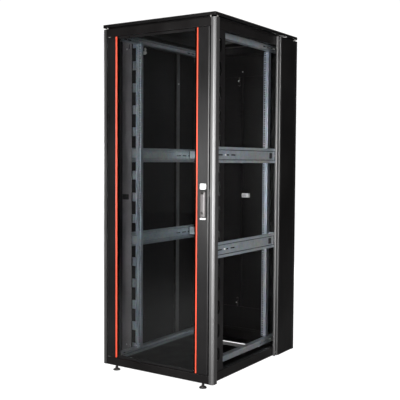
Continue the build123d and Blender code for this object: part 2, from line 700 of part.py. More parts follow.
def screw_head(center, axis, radius, tall):
    """Button head with a hexagon socket, standing out along an axis of length one."""
    plane = Plane(origin=center, z_dir=axis)
    head = extrude(plane * Circle(radius), tall)
    head = fillet(head.edges().filter_by(GeomType.CIRCLE).sort_by(Axis(center, axis))[-1:], tall * 0.45)
    socket = plane.offset(tall * 0.4) * RegularPolygon(radius * 0.5, 6)
    return head - extrude(socket, tall)


def frame_fasteners():
    """Lock nuts of the feet and the bolts that hold the beams, posts, channels and rails."""
    items = []
    for sx in (-1, 1):
        for sy in (-1, 1):
            nut = Pos(sx * FOOT_X, sy * FOOT_Y, FOOT_HEIGHT + 2) * extrude(RegularPolygon(9, 6), 6)
            items.append(nut - rod_z(sx * FOOT_X, sy * FOOT_Y, 5.3, 30, 50))
        for z in BEAM_Z:
            for y in (-350, -436):
                items.append(screw_head((sx * (BEAM_X - 2 + THIN / 2), y, z), (sx, 0, 0), 6, 3.5))
        for z in (130, 1956):
            items.append(screw_head((sx * 332.6, PLATE_Y - THIN, z), (0, -1, 0), 5, 3))
        for z in (FOOT_HEIGHT + 22, FRAME_TOP - 22):
            items.append(screw_head((sx * (MIDDLE_POST_X[1] - 11), 263, z), (sx, 0, 0), 5, 3.5))
        for z in (RAIL_BOTTOM - CHANNEL_TALL / 2, RAIL_TOP + CHANNEL_TALL / 2):
            items.append(screw_head((sx * (CHANNEL_X[1] + 1), -450, z), (sx, 0, 0), 6, 4))
            items.append(screw_head((sx * (CHANNEL_X[1] + 1), -330, z), (sx, 0, 0), 6, 4))
            items.append(screw_head((sx * (CHANNEL_X[1] + 1), 380, z), (sx, 0, 0), 6, 4))
        items.append(screw_head((sx * MIDDLE_POST_X[0], 260, 1802), (-sx, 0, 0), 6, 3.5))
    items.append(screw_head((0, HALF_D - LEAF_DEEP, 1885), (0, -1, 0), 5, 3))
    return items


# ---- Building --------------------------------------------------------------------------------------
def add(name, shape):
    solids = shape if isinstance(shape, list) else [shape]
    parts[name] = [solid for item in solids for solid in item.solids()]


add("front_header", front_header())
add("front_sill", front_sill())
add("rear_header", rear_header())
add("rear_sill", rear_sill())
add("bottom_side_rails", side_rails(FOOT_HEIGHT, FOOT_HEIGHT + SIDE_RAIL_TALL - 1))
add("top_side_rails", side_rails(FRAME_TOP - SIDE_RAIL_TALL, FRAME_TOP - SIDE_RAIL_TALL + 1))
add("rear_posts", rear_posts())
add("middle_posts", middle_posts())
add("floor_panel", floor_panel())
add("roof_panel", roof_panel())
add("roof_entry_cover", roof_entry_cover())
add("roof_riser", roof_riser())
add("roof_standoffs", roof_standoffs())
add("left_side_panel", left_side_panel())
add("side_panel_lock", side_panel_lock())
add("rear_side_panels", rear_side_panels())
add("rear_top_panel", rear_fixed_panel((1866, 1998), 1866, 1))
add("rear_bottom_panel", rear_fixed_panel((115, 255), 255, -1))
add("rear_door_left", rear_door_left())
add("rear_door_right", rear_door_right())
add("slide_bolt_upper", slide_bolt(LEAF_Z[1], -1))
add("slide_bolt_lower", slide_bolt(LEAF_Z[0], 1))
add("rear_latch_housing", rear_latch_housing())
add("rear_latch_knob", rear_latch_knob())
add("cable_plates", cable_plates())
add("plate_insert", plate_insert())
add("bottom_channels", channels(RAIL_BOTTOM - CHANNEL_TALL))
add("top_channels", channels(RAIL_TOP))
add("rail_brackets", rail_brackets())
add("beam_clips", beam_clips())
add("door_edge_channels", door_edge_channels())
add("door_glass", door_glass())
add("door_red_strips", door_red_strips())
add("door_glazing_strips", door_glazing_strips())
add("handle_plate", handle_plate())
add("handle_rotor", handle_rotor())
add("latch_tongue", latch_tongue())
add("handle_lever", handle_lever())
add("key_barrel", key_barrel())
add("latch_keeper", latch_keeper())
add("hinge_pins", hinge_pins())
add("frame_fasteners", frame_fasteners())
for side_name in SIDES:
    add(f"front_post_{side_name}", front_post(side_name))
    add(f"post_web_{side_name}", post_web(side_name))
    add(f"front_rail_{side_name}", front_rail(side_name))
    add(f"rear_rail_{side_name}", rear_rail(side_name))
    add(f"door_stile_{side_name}", door_stile(side_name))
    for level, beam_z in zip(("lower", "upper"), BEAM_Z):
        add(f"side_beam_{level}_{side_name}", side_beam(side_name, beam_z))
    for end, sign_y in (("front", -1), ("rear", 1)):
        add(f"foot_{end}_{side_name}", foot(SIDES[side_name], sign_y))

os.makedirs("parts", exist_ok=True)
for part_name, solids in parts.items():
    shape = solids[0] if len(solids) == 1 else Compound(children=solids)
    export_step(shape, f"parts/{part_name}.step")
print(len(parts), "nodes")
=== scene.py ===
import json
import math

import bmesh
import bpy
from mathutils import Matrix, Vector


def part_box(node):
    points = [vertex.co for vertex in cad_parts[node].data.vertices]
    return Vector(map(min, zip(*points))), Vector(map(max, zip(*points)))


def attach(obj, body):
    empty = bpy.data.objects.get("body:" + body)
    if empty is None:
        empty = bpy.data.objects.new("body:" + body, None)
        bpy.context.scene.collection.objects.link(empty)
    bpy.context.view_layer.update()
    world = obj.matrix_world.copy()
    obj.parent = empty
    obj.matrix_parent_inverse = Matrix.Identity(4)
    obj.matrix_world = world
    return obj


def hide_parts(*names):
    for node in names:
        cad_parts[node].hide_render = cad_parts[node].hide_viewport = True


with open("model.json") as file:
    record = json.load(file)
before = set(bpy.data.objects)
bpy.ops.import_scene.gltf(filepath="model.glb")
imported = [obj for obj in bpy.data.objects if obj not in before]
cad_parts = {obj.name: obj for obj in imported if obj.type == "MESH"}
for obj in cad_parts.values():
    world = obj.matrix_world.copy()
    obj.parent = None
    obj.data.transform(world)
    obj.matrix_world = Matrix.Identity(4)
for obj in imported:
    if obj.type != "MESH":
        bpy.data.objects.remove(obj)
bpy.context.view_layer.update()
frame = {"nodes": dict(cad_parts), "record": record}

# Network rack cabinet: materials, detail pieces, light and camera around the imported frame. Metres.
MM = 0.001
RIGHT = Vector((1, 0, 0))
BACKWARD = Vector((0, 1, 0))
FORWARD = Vector((0, -1, 0))
UP = Vector((0, 0, 1))
SIDES = (("left", -1), ("right", 1))
NODES = frame["nodes"]
RECORD = frame["record"]


# ---- Shader graphs ---------------------------------------------------------------------------------
class Graph:
    """A material's node tree, with short calls to add and join nodes."""

    def __init__(self, name, **constants):
        self.material = bpy.data.materials.new(name)
        self.material.use_nodes = True
        self.tree = self.material.node_tree
        self.shader = self.tree.nodes["Principled BSDF"]
        self.coords = self.add("ShaderNodeTexCoord").outputs["Object"]
        for socket, value in constants.items():
            self.shader.inputs[socket.replace("_", " ")].default_value = value

    def add(self, kind, **settings):
        """Adds a node with some of its properties set."""
        node = self.tree.nodes.new(kind)
        for key, value in settings.items():
            setattr(node, key, value)
        return node

    def join(self, source, target):
        """Links an output socket to an input socket."""
        self.tree.links.new(source, target)

    def stretched(self, scale):
        """Object coordinates scaled by a factor on each axis."""
        mapping = self.add("ShaderNodeMapping")
        mapping.inputs["Scale"].default_value = scale
        self.join(self.coords, mapping.inputs["Vector"])
        return mapping.outputs["Vector"]

    def noise(self, scale, detail, vector=None, roughness=0.5):
        """Noise on the object coordinates, or on another vector."""
        node = self.add("ShaderNodeTexNoise")
        node.inputs["Scale"].default_value = scale
        node.inputs["Detail"].default_value = detail
        node.inputs["Roughness"].default_value = roughness
        self.join(vector or self.coords, node.inputs["Vector"])
        return node.outputs["Fac"]

    def cells(self, scale):
        """A random colour for each cell."""
        node = self.add("ShaderNodeTexVoronoi")
        node.inputs["Scale"].default_value = scale
        self.join(self.coords, node.inputs["Vector"])
        return node.outputs["Color"]

    def spread(self, source, low, high, from_low=0.3, from_high=0.7):
        """Maps a value from one range to another."""
        node = self.add("ShaderNodeMapRange")
        limits = {"From Min": from_low, "From Max": from_high, "To Min": low, "To Max": high}
        for name, value in limits.items():
            node.inputs[name].default_value = value
        self.join(source, node.inputs["Value"])
        return node.outputs["Result"]

    def ramp(self, source, stops):
        """Colour ramp with stops given as (position, colour)."""
        node = self.add("ShaderNodeValToRGB")
        elements = node.color_ramp.elements
        while len(elements) < len(stops):
            elements.new(0.5)
        for element, (position, colour) in zip(elements, stops):
            element.position = position
            element.color = (*colour, 1.0)
        self.join(source, node.inputs["Fac"])
        return node.outputs["Color"]

    def blend(self, factor, first, second, mode="MIX"):
        """Mixes two colours. Each is a socket or a fixed colour."""
        node = self.add("ShaderNodeMix", data_type="RGBA", blend_type=mode)
        for name, value in (("Factor", factor), ("A", first), ("B", second)):
            named = [s for s in node.inputs if s.name == name]
            socket = next(s for s in named if name == "Factor" or s.type == "RGBA")
            if isinstance(value, bpy.types.NodeSocket):
                self.join(value, socket)
            elif name == "Factor":
                socket.default_value = value
            else:
                socket.default_value = (*value, 1.0)
        return next(s for s in node.outputs if s.type == "RGBA")

    def maths(self, operation, first, second):
        """Result of an operation on two values. Each is a socket or a number."""
        node = self.add("ShaderNodeMath", operation=operation)
        for index, value in enumerate((first, second)):
            if isinstance(value, bpy.types.NodeSocket):
                self.join(value, node.inputs[index])
            else:
                node.inputs[index].default_value = value
        return node.outputs["Value"]

    def edges(self, radius):
        """0 on flat surfaces, rising to 1 along sharp edges within the radius."""
        bevel = self.add("ShaderNodeBevel", samples=6)
        bevel.inputs["Radius"].default_value = radius
        geometry = self.add("ShaderNodeNewGeometry")
        dot = self.add("ShaderNodeVectorMath", operation="DOT_PRODUCT")
        self.join(bevel.outputs["Normal"], dot.inputs[0])
        self.join(geometry.outputs["Normal"], dot.inputs[1])
        bent = self.maths("SUBTRACT", 1.0, dot.outputs["Value"])
        return self.spread(bent, 0.0, 1.0, 0.002, 0.1)

    def recess(self, reach):
        """Painted shade mask from ambient occlusion: 0 deep in grooves and holes narrower than the reach, 1
        on open surfaces.
        """
        node = self.add("ShaderNodeAmbientOcclusion", samples=8)
        node.inputs["Distance"].default_value = reach
        return self.spread(node.outputs["AO"], 0.0, 1.0, 0.35, 0.9)

    def bump(self, heights):
        """Chains bumps given as (height socket, strength, depth)."""
        normal = None
        for height, strength, depth in heights:
            node = self.add("ShaderNodeBump")
            node.inputs["Strength"].default_value = strength
            node.inputs["Distance"].default_value = depth
            self.join(height, node.inputs["Height"])
            if normal:
                self.join(normal, node.inputs["Normal"])
            normal = node.outputs["Normal"]
        self.join(normal, self.shader.inputs["Normal"])


def powder_coat(name, colour, roughness, grain_depth=0.06 * MM, index=1.5, shine=0.5, right_painted_shade=1.0):
    """Fine-textured powder coat: orange peel, faint cloudiness, lighter rubbed edges.

    Where X is above zero, the colour is flat and scaled by the right-side factor, as painted shade on that
    half where light would not fall.
    """
    g = Graph(name, Specular_IOR_Level=shine, IOR=index)
    cloud = g.noise(2.6, 4.0)
    light = tuple(min(1.0, c * 1.35 + 0.002) for c in colour)
    dark = tuple(c * 0.8 for c in colour)
    base = g.ramp(cloud, [(0.35, dark), (0.65, light)])
    # Painted shade: the half where X is above zero gets a darker flat colour that stands in for shadow.
    if right_painted_shade != 1.0:
        parts = g.add("ShaderNodeSeparateXYZ")
        g.join(g.coords, parts.inputs["Vector"])
        painted_shade_side = g.spread(parts.outputs["X"], 0.0, 1.0, -0.1, 0.1)
        base = g.blend(painted_shade_side, base, tuple(c * right_painted_shade for c in colour))
    scuffs = g.noise(60.0, 6.0, roughness=0.7)
    rubbed = g.maths("MULTIPLY", g.edges(1.4 * MM), g.spread(scuffs, 0.0, 0.5, 0.42, 0.68))
    base = g.blend(rubbed, base, tuple(c * 3.0 + 0.05 for c in colour))
    g.join(base, g.shader.inputs["Base Color"])
    smear = g.noise(9.0, 5.0, vector=g.stretched((1.0, 1.0, 0.35)))
    g.join(g.spread(smear, roughness - 0.05, roughness + 0.07), g.shader.inputs["Roughness"])
    g.bump([(g.noise(700.0, 2.0), 0.35, grain_depth), (g.noise(210.0, 2.0), 0.2, grain_depth * 2.5)])
    return g.material


# Reach and near-black colour of the painted shade that darkens slots, holes and grooves.
SHADE_REACH = 9 * MM
RECESS_SHADE_COLOUR = (0.015, 0.017, 0.020)


def zinc_plate(name, along, cool=1.0):
    """Passivated zinc on rolled sheet: bluish bloom, warm patches, rolling lines and soft spangle.

    The rolling lines run along one axis. Slots, holes and grooves get painted shade, darker than the open
    faces.
    """
    g = Graph(name, Metallic=0.75)
    lines = tuple(14.0 if axis == along else 620.0 for axis in "XYZ")
    rolled = g.noise(1.0, 3.0, vector=g.stretched(lines))
    spangle = g.cells(85.0)
    bloom = g.noise(7.0, 4.0)
    base = g.ramp(bloom, [(0.34, (0.38, 0.44, 0.49 * cool)), (0.5, (0.45, 0.49, 0.52 * cool)),
                          (0.68, (0.50, 0.50, 0.49 * cool))])
    base = g.blend(0.10, base, spangle, "OVERLAY")
    base = g.blend(g.spread(rolled, 0.0, 0.25), base, (0.22, 0.25, 0.3))
    stain = g.spread(g.noise(30.0, 6.0, roughness=0.65), 0.0, 0.35, 0.5, 0.75)
    base = g.blend(stain, base, (0.2, 0.21, 0.23))
    # Painted shade: recesses are darkened towards a near-black colour by ambient occlusion.
    base = g.blend(g.recess(SHADE_REACH), RECESS_SHADE_COLOUR, base)
    g.join(base, g.shader.inputs["Base Color"])
    matt = g.noise(22.0, 4.0)
    g.join(g.spread(matt, 0.36, 0.52), g.shader.inputs["Roughness"])
    g.bump([(rolled, 0.25, 0.04 * MM), (g.noise(260.0, 2.0), 0.15, 0.05 * MM)])
    return g.material


def clear_glass(name):
    """Toughened glass, faintly green, with a coating that keeps its reflections low."""
    g = Graph(name, Transmission_Weight=1.0, IOR=1.45, Specular_IOR_Level=0.03)
    streaks = g.noise(2.0, 5.0, vector=g.stretched((1.0, 1.0, 0.4)))
    tint = g.ramp(streaks, [(0.3, (0.90, 0.94, 0.935)), (0.7, (0.95, 0.975, 0.97))])
    g.join(tint, g.shader.inputs["Base Color"])
    g.join(g.spread(streaks, 0.0, 0.015), g.shader.inputs["Roughness"])
    g.bump([(g.noise(4.0, 1.0), 0.02, 0.4 * MM)])
    return g.material


def plastic(name, colour, roughness, tint=0.12):
    """Moulded plastic with a fine spark-eroded texture and faint clouds, darker by the tint."""
    g = Graph(name, Specular_IOR_Level=0.45)
    cloud = g.noise(25.0, 3.0)
    base = g.ramp(cloud, [(0.3, tuple(c * (1 - tint) for c in colour)), (0.7, colour)])
    g.join(base, g.shader.inputs["Base Color"])
    g.join(g.spread(g.noise(80.0, 3.0), roughness - 0.05, roughness + 0.06), g.shader.inputs["Roughness"])
    g.bump([(g.noise(1400.0, 2.0), 0.25, 0.04 * MM)])
    return g.material


def bright_metal(name, colour, roughness, metallic=1.0):
    """Plated hardware: fine scratches along one way and faintly darker patches."""
    g = Graph(name, Metallic=metallic)
    scratches = g.noise(1.0, 4.0, vector=g.stretched((300.0, 300.0, 2600.0)))
    base = g.ramp(g.noise(90.0, 4.0), [(0.3, tuple(c * 0.82 for c in colour)), (0.7, colour)])
    g.join(base, g.shader.inputs["Base Color"])
    g.join(g.spread(scratches, roughness - 0.07, roughness + 0.1), g.shader.inputs["Roughness"])
    g.bump([(scratches, 0.15, 0.02 * MM)])
    return g.material


def rubber(name, colour, roughness):
    """Matt rubber, mottled and finely grained."""
    g = Graph(name, Specular_IOR_Level=0.35)
    base = g.ramp(g.noise(40.0, 5.0), [(0.3, colour), (0.75, tuple(c * 1.8 for c in colour))])
    g.join(base, g.shader.inputs["Base Color"])
    g.join(g.spread(g.noise(120.0, 3.0), roughness - 0.08, roughness + 0.08), g.shader.inputs["Roughness"])
    g.bump([(g.noise(900.0, 3.0), 0.4, 0.08 * MM)])
    return g.material


MATERIALS = {
    "frame_black": powder_coat("frame_black", (0.0040, 0.0034, 0.0034), 0.34, shine=0.38),
    "panel_black": powder_coat("panel_black", (0.0035, 0.0031, 0.0031), 0.40, shine=0.2),
    # The cable plates are black sheet. Their grey colour is painted light where the key light falls on the
    # left plate, and the right plate is scaled back near black as painted shade.
    "plate_black": powder_coat("plate_black", (0.1700, 0.1560, 0.1700), 0.34, grain_depth=0.03 * MM,
                               right_painted_shade=0.05),
    "post_black": powder_coat("post_black", (0.0050, 0.0042, 0.0042), 0.46, index=2.4),
    "door_black": powder_coat("door_black", (0.0045, 0.0040, 0.0042), 0.32),
    "zinc": zinc_plate("zinc_vertical", "Z", cool=1.08),
    "zinc_level": zinc_plate("zinc_level", "Y"),
    "tinted_glass": clear_glass("tinted_glass"),
    "red_trim": plastic("red_trim", (0.90, 0.095, 0.045), 0.38, tint=0.08),
    "black_rubber": rubber("black_rubber", (0.012, 0.012, 0.012), 0.75),
    "black_plastic": plastic("black_plastic", (0.010, 0.010, 0.010), 0.45),
    "light_plastic": plastic("light_plastic", (0.86, 0.86, 0.86), 0.34, tint=0.04),
    "clip_plastic": plastic("clip_plastic", (0.22, 0.21, 0.20), 0.45),
    "grey_lever": bright_metal("grey_lever", (0.14, 0.13, 0.13), 0.34, metallic=0.1),
    "steel_bright": bright_metal("steel_bright", (0.78, 0.78, 0.77), 0.28, metallic=0.5),
    "dark_steel": powder_coat("dark_steel", (0.022, 0.020, 0.019), 0.34),
}

# Nodes whose finish is not the one of their slot.
FINISHES = {
    "zinc_level": ("top_channels", "bottom_channels", "side_beam_lower_left", "side_beam_lower_right",
                   "side_beam_upper_left", "side_beam_upper_right", "rail_brackets"),
    "post_black": ("front_post_left", "front_post_right", "middle_posts"),
    "door_black": ("post_web_left", "post_web_right"),
    "dark_steel": ("key_barrel", "handle_rotor"),
}


def coat_nodes():
    """Gives each CAD node its material."""
    special = {node: finish for finish, nodes in FINISHES.items() for node in nodes}
    for subpart in RECORD["subparts"]:
        name = subpart["node"]
        finish = special.get(name, subpart["material_slot"])
        materials = NODES[name].data.materials
        materials.clear()
        materials.append(MATERIALS[finish])


coat_nodes()


# ---- Mesh helpers ----------------------------------------------------------------------------------
CORNER_STEPS = 6
FLAT_ANGLE = 35.0       # an edge that bends more than this, in degrees, is drawn sharp
CUT_ANGLE = 32.0        # the same for a mesh that something was cut out of


def finish_mesh(name, builder, sharp):
    """Turns a bmesh into a mesh that is smooth except at edges sharper than the angle."""
    bmesh.ops.recalc_face_normals(builder, faces=builder.faces)
    mesh = bpy.data.meshes.new(name)
    builder.to_mesh(mesh)
    builder.free()
    mesh.polygons.foreach_set("use_smooth", [True] * len(mesh.polygons))
    mesh.set_sharp_from_angle(angle=math.radians(sharp))
    return mesh


def skin(name, rings, closed=False, sharp=FLAT_ANGLE):
    """Mesh through rings of equally many points, its ends capped unless it closes on itself."""
    builder = bmesh.new()
    loops = [[builder.verts.new(point) for point in ring] for ring in rings]
    following = loops[1:] + loops[:1] if closed else loops[1:]
    for low, high in zip(loops, following):
        for index in range(len(low)):
            after = (index + 1) % len(low)
            builder.faces.new((low[index], low[after], high[after], high[index]))
    if not closed:
        builder.faces.new(loops[0])
        builder.faces.new(loops[-1])
    return finish_mesh(name, builder, sharp)


def round_box(x, z, corner):
    """Points (x, z) of a rectangle with round corners."""
    points = []
    left, right = x[0] + corner, x[1] - corner
    low, high = z[0] + corner, z[1] - corner
    for quarter, (cx, cz) in enumerate(((right, high), (left, high), (left, low), (right, low))):
        for step in range(CORNER_STEPS + 1):
            angle = math.radians(90) * (quarter + step / CORNER_STEPS)
            points.append((cx + corner * math.cos(angle), cz + corner * math.sin(angle)))
    return points


def facing_front(name, x, z, corner, layers):
    """Moulding that faces -Y. Each layer is (y, inset of the outline)."""
    rings = []
    for y, inset in layers:
        radius = max(corner - inset, 0.3 * MM)
        outline = round_box((x[0] + inset, x[1] - inset), (z[0] + inset, z[1] - inset), radius)
        rings.append([(px, y, pz) for px, pz in outline])
    return skin(name, rings)


def around(axis):
    """Two directions at right angles to an axis and to each other."""
    across = axis.orthogonal().normalized()
    return across, axis.cross(across)


def circle(across, upward, segments, turn=0.0):
    """Directions spread evenly round a full turn."""
    angles = [turn + 2 * math.pi * index / segments for index in range(segments)]
    return [across * math.cos(angle) + upward * math.sin(angle) for angle in angles]


def turned(name, centre, axis, profile, segments):
    """Body of revolution about an axis through the centre. The profile is (radius, distance along)."""
    ways = circle(*around(axis), segments)
    return skin(name, [[centre + axis * along + way * radius for way in ways] for radius, along in profile])


def prism(name, centre, axis, radius, low, high, sides, turn=0.0):
    """Prism or, with many sides, a cylinder, along an axis."""
    ways = circle(*around(axis), sides, turn)
    return skin(name, [[centre + axis * along + way * radius for way in ways] for along in (low, high)])


def hoop(name, centre, across, upward, axis, profile, segments):
    """Ring with a closed section. Its profile is (radius, distance along the axis)."""
    ways = circle(across, upward, segments)
    rings = [[centre + way * radius + axis * along for radius, along in profile] for way in ways]
    return skin(name, rings, closed=True)


def in_mm(profile):
    """A profile given in millimetres, in metres."""
    return [(first * MM, second * MM) for first, second in profile]


def cuboid(name, x, y, z):
    """Box between two values on each axis."""
    return skin(name, [[(x[0], y[0], h), (x[1], y[0], h), (x[1], y[1], h), (x[0], y[1], h)] for h in z])


def carve(mesh, cutters):
    """Cuts other meshes out of a mesh."""
    collection = bpy.context.scene.collection
    body = bpy.data.objects.new("carved", mesh)
    collection.objects.link(body)
    tools = []
    for cutter in cutters:
        tool = bpy.data.objects.new("cutter", cutter)
        collection.objects.link(tool)
        modifier = body.modifiers.new("cut", "BOOLEAN")
        modifier.operation = "DIFFERENCE"
        modifier.solver = "EXACT"
        modifier.object = tool
        tools.append(tool)
    bpy.context.view_layer.update()
    evaluated = body.evaluated_get(bpy.context.evaluated_depsgraph_get())
    result = bpy.data.meshes.new_from_object(evaluated)
    for unused in [body] + tools:
        bpy.data.objects.remove(unused)
    result.polygons.foreach_set("use_smooth", [True] * len(result.polygons))
    result.set_sharp_from_angle(angle=math.radians(CUT_ANGLE))
    return result


def place(name, mesh, body, slot):
    """Puts a mesh in the scene as a piece that rides on a body and takes a slot's finish."""
    piece = bpy.data.objects.new(name, mesh)
    bpy.context.scene.collection.objects.link(piece)
    mesh.materials.clear()
    mesh.materials.append(MATERIALS[slot])
    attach(piece, body)
    return piece


def middle(box, index):
    """Middle of a box on the axis of that index."""
    return (box[0][index] + box[1][index]) / 2


def pan_head(name, centre, axis, radius, tall):
    """Pan-head screw with a cross recess."""
    shape = [(0.94, 0.0), (1.0, 0.15), (1.0, 0.45), (0.9, 0.78), (0.66, 0.95), (0.3, 1.0)]
    profile = [(radius * out, tall * along) for out, along in shape]
    across, upward = around(axis)
    cutters = []
    for long_way, short_way in ((across, upward), (upward, across)):
        arm, half_wide = long_way * radius * 0.52, short_way * radius * 0.12
        rings = [[centre + axis * tall * along + arm * a + half_wide * b
                  for a, b in ((1, 1), (-1, 1), (-1, -1), (1, -1))] for along in (0.45, 1.3)]
        cutters.append(skin("recess", rings))
    return carve(turned(name, centre, axis, profile, 28), cutters)


# ---- Handle ----------------------------------------------------------------------------------------
HANDLE_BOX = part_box("handle_plate")
LEVER_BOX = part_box("handle_lever")
KEY_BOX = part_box("key_barrel")
HANDLE_X = middle(HANDLE_BOX, 0)
HANDLE_HALF = HANDLE_X - HANDLE_BOX[0][0]
PLATE_BACK = HANDLE_BOX[1][1]
PLATE_FRONT = HANDLE_BOX[0][1]
LEVER_DEPTH = middle(LEVER_BOX, 1)
LEVER_TOP_RADIUS = 7 * MM
PIVOT_Z = LEVER_BOX[1][2] - LEVER_TOP_RADIUS
BARREL_Z = middle(KEY_BOX, 2)
SHAFT_HOLE_RADIUS = 9.4 * MM
FORK_HALF = 10.3 * MM
PIN_HOLE_RADIUS = 2.05 * MM
BARREL_BORE_RADIUS = 8.1 * MM
TRAY_TALL = 4 * MM
CAP_INSET = 0.2 * MM      # the caps stand back from the tray's outline by this much
CAP_ROUND = 2.4 * MM


def handle_base():
    """Dark tray that the lever lies in, with a raised rim."""
    x = (HANDLE_X - HANDLE_HALF, HANDLE_X + HANDLE_HALF)
    z = (HANDLE_BOX[0][2], HANDLE_BOX[1][2])
    rim = PLATE_BACK - TRAY_TALL
    steps = ((0.8, 0.0), (0.2, 0.3), (0.0, 0.9), (0.0, 2.4), (0.3, 2.9), (1.8, 3.1), (2.0, 3.6))
    layers = [(PLATE_BACK, 0.0)] + [(rim + deep, inset) for deep, inset in in_mm(steps)]
    tray = facing_front("handle_base", x, z, 6 * MM, layers)
    centre = Vector((HANDLE_X, PLATE_BACK, PIVOT_Z))
    hole = prism("shaft_hole", centre, FORWARD, SHAFT_HOLE_RADIUS, -3 * MM, 9 * MM, 48)
    return place("handle_base", carve(tray, [hole]), "front_door", "black_plastic")


def handle_cap(name, z, parting):
    """White cap with a round front at one end of the handle. A parting line may cross it."""
    x = (HANDLE_X - HANDLE_HALF + CAP_INSET, HANDLE_X + HANDLE_HALF - CAP_INSET)
    layers = [(PLATE_BACK - 2.2 * MM, 0.0), (PLATE_FRONT + CAP_ROUND, 0.0)]
    for step in range(1, CORNER_STEPS + 1):
        angle = math.radians(90) * step / CORNER_STEPS
        sunk, inset = CAP_ROUND * (1 - math.sin(angle)), CAP_ROUND * (1 - math.cos(angle))
        layers.append((PLATE_FRONT + sunk, inset))
    cap = facing_front(name, x, z, 5.8 * MM, layers)
    if parting:
        line_z = z[0] + 0.30 * (z[1] - z[0])
        half = 0.35 * MM
        groove = cuboid("groove", (x[0] - MM, x[1] + MM), (PLATE_FRONT - MM, PLATE_FRONT + 0.6 * MM),
                        (line_z - half, line_z + half))
        cap = carve(cap, [groove])
    place(name, cap, "front_door", "light_plastic")


FRONT_STEPS = 24
# Along the lever from its low end: share of its length, share of its width, depth below its face in mm.
LEVER_SHAPE = ((0.0, 0.90, 4.0), (0.006, 0.97, 1.8), (0.02, 1.0, 0.5), (0.05, 1.0, 0.0), (0.3, 1.0, 0.0),
               (0.5, 0.99, 0.5), (0.7, 0.99, 0.7), (0.86, 1.0, 0.5), (0.94, 1.0, 0.3),
               (0.975, 1.0, 1.0), (0.993, 0.98, 3.4), (1.0, 0.95, 5.8))


def lever_section(z, half, front, back):
    """Ring at one height: a flat back and a front that is rounded from side to side."""
    ring = [(HANDLE_X + half, back, z), (HANDLE_X - half, back, z)]
    side_y = front + 0.55 * (back - front)
    for step in range(FRONT_STEPS + 1):
        angle = math.pi * (1 - step / FRONT_STEPS)
        out = math.copysign(abs(math.cos(angle)) ** 0.75, math.cos(angle))
        ring.append((HANDLE_X + half * out, side_y - (side_y - front) * math.sin(angle) ** 0.85, z))
    return ring


def handle_lever():
    """Lever with a round front and a forked top around the shaft's tab.

    The back of its top is round too, so that it clears the tray when the lever tilts.
    """
    low, high = LEVER_BOX[0][2], LEVER_BOX[1][2]
    half = (LEVER_BOX[1][0] - LEVER_BOX[0][0]) / 2
    back, front = LEVER_BOX[1][1], LEVER_BOX[0][1]
    turning = LEVER_TOP_RADIUS - 0.1 * MM
    rings = []
    for along, wide, sunk in LEVER_SHAPE:
        z = low + (high - low) * along
        above = max(z - PIVOT_Z, 0.0)
        round_back = LEVER_DEPTH + math.sqrt(max(turning ** 2 - above ** 2, MM ** 2))
        rings.append(lever_section(z, half * wide, front + sunk * MM, min(back, round_back)))
    lever = skin("handle_lever", rings, sharp=50.0)
    fork = cuboid("fork", (HANDLE_X - FORK_HALF, HANDLE_X + FORK_HALF), (front - MM, back + MM),
                  (PIVOT_Z - 9 * MM, high + MM))
    pivot = Vector((HANDLE_X, LEVER_DEPTH, PIVOT_Z))
    pin = prism("pin", pivot, RIGHT, PIN_HOLE_RADIUS, -half - MM, half + MM, 24)
    barrel = Vector((HANDLE_X, front, BARREL_Z))
    bore = prism("bore", barrel, BACKWARD, BARREL_BORE_RADIUS, -MM, 16 * MM, 48)
    piece = place("lever_body", carve(lever, [fork, pin, bore]), "lever", "grey_lever")
    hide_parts("handle_lever")


def barrel_bezel():
    """Thin ring round the key barrel."""
    profile = [(8.15, -3.0), (11.0, -3.0), (11.0, 0.3), (10.6, 0.75), (9.9, 0.95), (8.5, 0.95), (8.15, 0.7)]
    centre = Vector((HANDLE_X, LEVER_BOX[0][1], BARREL_Z))
    bezel = hoop("key_bezel", centre, RIGHT, UP, FORWARD, in_mm(profile), 48)
    place("key_bezel", bezel, "lever", "grey_lever")


def handle():
    """Tray, two caps, lever and bezel in place of the CAD's handle plate and lever."""
    base = handle_base()
    low, high = HANDLE_BOX[0][2] + CAP_INSET, HANDLE_BOX[1][2] - CAP_INSET
    handle_cap("handle_cap_top", (LEVER_BOX[1][2] + 11.1 * MM, high), True)
    handle_cap("handle_cap_low", (low, LEVER_BOX[0][2] - 3 * MM), False)
    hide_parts("handle_plate")
    handle_lever()
    barrel_bezel()


# ---- Feet, screws and small hardware ---------------------------------------------------------------
THREAD_PITCH = 1.5 * MM
THREAD_STEPS = 24
PAD_TALL = 22.5 * MM


def foot_thread(centre, low, high):
    """Helical ridge on a foot's stud, between two heights."""
    section = in_mm(((4.9, 0.0), (5.22, 0.3), (5.22, 0.5), (4.9, 0.8)))
    rings = []
    for index in range(int((high - low) / THREAD_PITCH * THREAD_STEPS)):
        turns = index / THREAD_STEPS
        angle = 2 * math.pi * turns
        out = Vector((math.cos(angle), math.sin(angle), 0.0))
        base = Vector((*centre, low + THREAD_PITCH * turns))
        rings.append([base + out * radius + UP * rise for radius, rise in section])
    return skin("thread", rings)


def feet():
    """Thread on each foot's stud, and a rubber ring round its pad."""
    sole_profile = [(20.05, 0.0), (21.2, 0.0), (21.8, 0.8), (21.8, 2.6), (21.2, 3.6), (20.05, 3.8)]
    for end in ("front", "rear"):
        for side in ("left", "right"):
            body = "foot_" + end[0] + side[0]
            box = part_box(f"foot_{end}_{side}")
            x, y = middle(box, 0), middle(box, 1)
            thread = foot_thread((x, y), box[0][2] + PAD_TALL, box[1][2] - MM)
            place(f"foot_thread_{end}_{side}", thread, body, "dark_steel")
            centre = Vector((x, y, box[0][2]))
            sole = hoop("sole", centre, RIGHT, BACKWARD, UP, in_mm(sole_profile), 56)
            place(f"foot_sole_{end}_{side}", sole, body, "black_rubber")


FRONT_SCREW = (33 * MM, 10 * MM)      # from a front rail's inner edge, and back from its face
REAR_SCREW_IN = 23 * MM               # from a rear rail's inner edge
RAIL_SCREW_END = 12 * MM              # from a rail's ends


